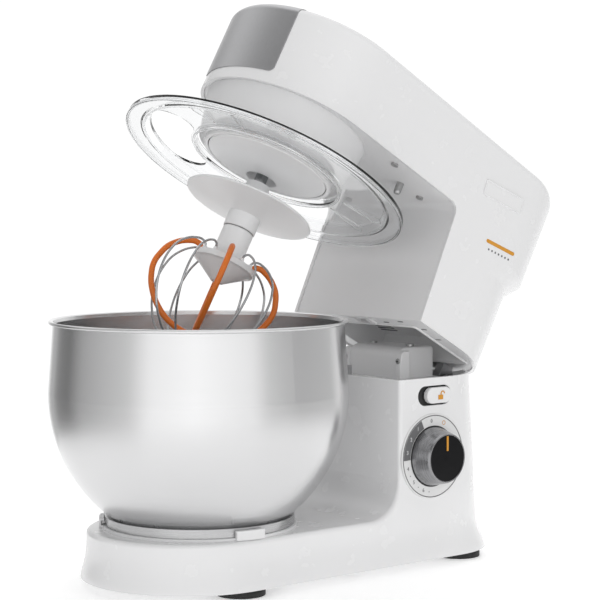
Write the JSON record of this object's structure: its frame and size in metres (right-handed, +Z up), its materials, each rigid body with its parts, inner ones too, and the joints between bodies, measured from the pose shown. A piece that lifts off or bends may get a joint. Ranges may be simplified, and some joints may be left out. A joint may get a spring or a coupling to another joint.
{
  "type": "stand mixer",
  "caption": "Tilt-head stand mixer, head raised: steel bowl on a bayonet seat, clear splash guard, planetary hub with loop whisk, speed knob and head lock on the side.",
  "frame": {"origin": "centre of the bounding box on the floor, with the head tilted open as stored", "axes": "+Z up, -Y toward the front where the bowl is, +X the side with the speed knob and lock slider"},
  "size_m": [0.2274, 0.446, 0.4344],
  "materials": {
    "white_body": "smooth moulded gloss",
    "white_inner": "fine matt mould texture",
    "hub_grey": "satin moulded",
    "silver_paint": "satin metallic lacquer",
    "white_slider": "smooth gloss",
    "bowl_steel": "polished with a faint circumferential grain",
    "clear_guard": "clear moulded plastic",
    "grey_tool": "satin moulded grey",
    "wire_steel": "drawn wire, polished",
    "orange_silicone": "soft satin silicone",
    "knob_silver": "plated satin skirt",
    "knob_black": "gloss black",
    "feet_rubber": "dull rubber",
    "seat_plastic": "satin moulded",
    "screw_steel": "zinc plated",
    "dark_inner": "black moulded",
    "latch_steel": "pressed and plated",
    "board_green": "lacquered board",
    "gear_nylon": "natural nylon",
    "gear_metal": "machined",
    "motor_iron": "stacked laminations",
    "copper": "enamelled copper",
    "belt_rubber": "dull black"
  },
  "bodies": {
    "stand": {"base_housing": "white_body", "base_plate": "white_inner", "rubber_feet": "feet_rubber", "base_screws": "screw_steel", "bowl_seat": "seat_plastic", "cord_grommet": "feet_rubber", "dial_ring": "silver_paint", "rotary_switch": "dark_inner", "control_board": "board_green", "slider_track": "dark_inner", "latch_guide": "dark_inner", "hinge_bracket": "latch_steel", "hinge_pin": "wire_steel", "tilt_spring": "latch_steel", "hinge_cover": "white_inner", "cover_screws": "screw_steel"},
    "head": {"head_shell": "white_body", "front_panel": "silver_paint", "head_underside": "white_inner", "guard_catch": "white_inner", "underside_screws": "screw_steel", "neck_floor": "white_inner", "side_badge": "silver_paint", "splash_guard": "clear_guard", "ring_gear": "gear_metal", "gearbox_housing": "hub_grey", "gearbox_deck": "latch_steel", "shaft_bearings": "gear_metal", "drive_belt": "belt_rubber", "motor_stator": "motor_iron", "stator_windings": "copper", "brush_holders": "dark_inner", "motor_bracket": "latch_steel", "hinge_arm": "latch_steel"},
    "bowl": {"bowl": "bowl_steel", "bowl_foot_ring": "bowl_steel"},
    "hub": {"planetary_hub": "hub_grey", "main_shaft": "gear_metal", "main_gear": "gear_nylon"},
    "tool": {"tool_shaft": "wire_steel", "planet_gear": "gear_nylon", "dough_shield": "grey_tool"},
    "whisk": {"whisk_hub": "grey_tool", "steel_loops": "wire_steel", "silicone_loops": "orange_silicone"},
    "layshaft": {"layshaft": "gear_metal", "pinion": "gear_metal", "large_pulley": "gear_nylon"},
    "motor_rotor": {"motor_shaft": "gear_metal", "armature": "motor_iron", "commutator": "copper", "cooling_fan": "dark_inner", "motor_pulley": "gear_metal"},
    "speed_knob": {"speed_knob": "knob_silver", "knob_face": "knob_black", "knob_pointer": "silver_paint", "switch_shaft": "latch_steel"},
    "lock_slider": {"lock_slider": "white_slider", "lock_icon": "silver_paint"},
    "latch": {"latch_hook": "latch_steel"}
  },
  "joints": [
    {"name": "head_tilt", "type": "hinge", "parent": "stand", "child": "head", "pos_m": [0, 0.1204, 0.1345], "axis": [-1, 0, 0], "range_deg": [-29.1, 0]},
    {"name": "bowl_twist", "type": "hinge", "parent": "stand", "child": "bowl", "pos_m": [0, -0.1106, 0.0443], "axis": [0, 0, 1], "range_deg": [0, 20]},
    {"name": "hub_spin", "type": "hinge", "parent": "head", "child": "hub", "pos_m": [0, -0.035, 0.33029], "axis": [0, 0.4863, 0.8738], "continuous": true},
    {"name": "tool_spin", "type": "hinge", "parent": "hub", "child": "tool", "pos_m": [-0.02647, -0.03387, 0.29533], "axis": [0, 0.4863, 0.8738], "continuous": true},
    {"name": "whisk_release", "type": "slide", "parent": "tool", "child": "whisk", "axis": [0, -0.4863, -0.8738], "range_m": [0, 0.03]},
    {"name": "layshaft_spin", "type": "hinge", "parent": "head", "child": "layshaft", "pos_m": [0, 0.02656, 0.33036], "axis": [0, 0.4863, 0.8738], "continuous": true},
    {"name": "motor_spin", "type": "hinge", "parent": "head", "child": "motor_rotor", "pos_m": [0, 0.13277, 0.23691], "axis": [0, 0.4863, 0.8738], "continuous": true},
    {"name": "knob_turn", "type": "hinge", "parent": "stand", "child": "speed_knob", "pos_m": [0.0763, 0.0581, 0.0869], "axis": [-1, 0, 0], "range_deg": [0, 270]},
    {"name": "lock_slide", "type": "slide", "parent": "stand", "child": "lock_slider", "axis": [0, 1, 0], "range_m": [-0.008, 0]},
    {"name": "latch_move", "type": "slide", "parent": "stand", "child": "latch", "axis": [0, 1, 0], "range_m": [-0.0024, 0]}
  ],
  "couplings": [
    {"joint": "tool_spin", "follows": "hub_spin", "ratio": -3.6667},
    {"joint": "layshaft_spin", "follows": "hub_spin", "ratio": -5.1429},
    {"joint": "motor_spin", "follows": "hub_spin", "ratio": -21.714},
    {"joint": "latch_move", "follows": "lock_slide", "ratio": 0.3}
  ]
}
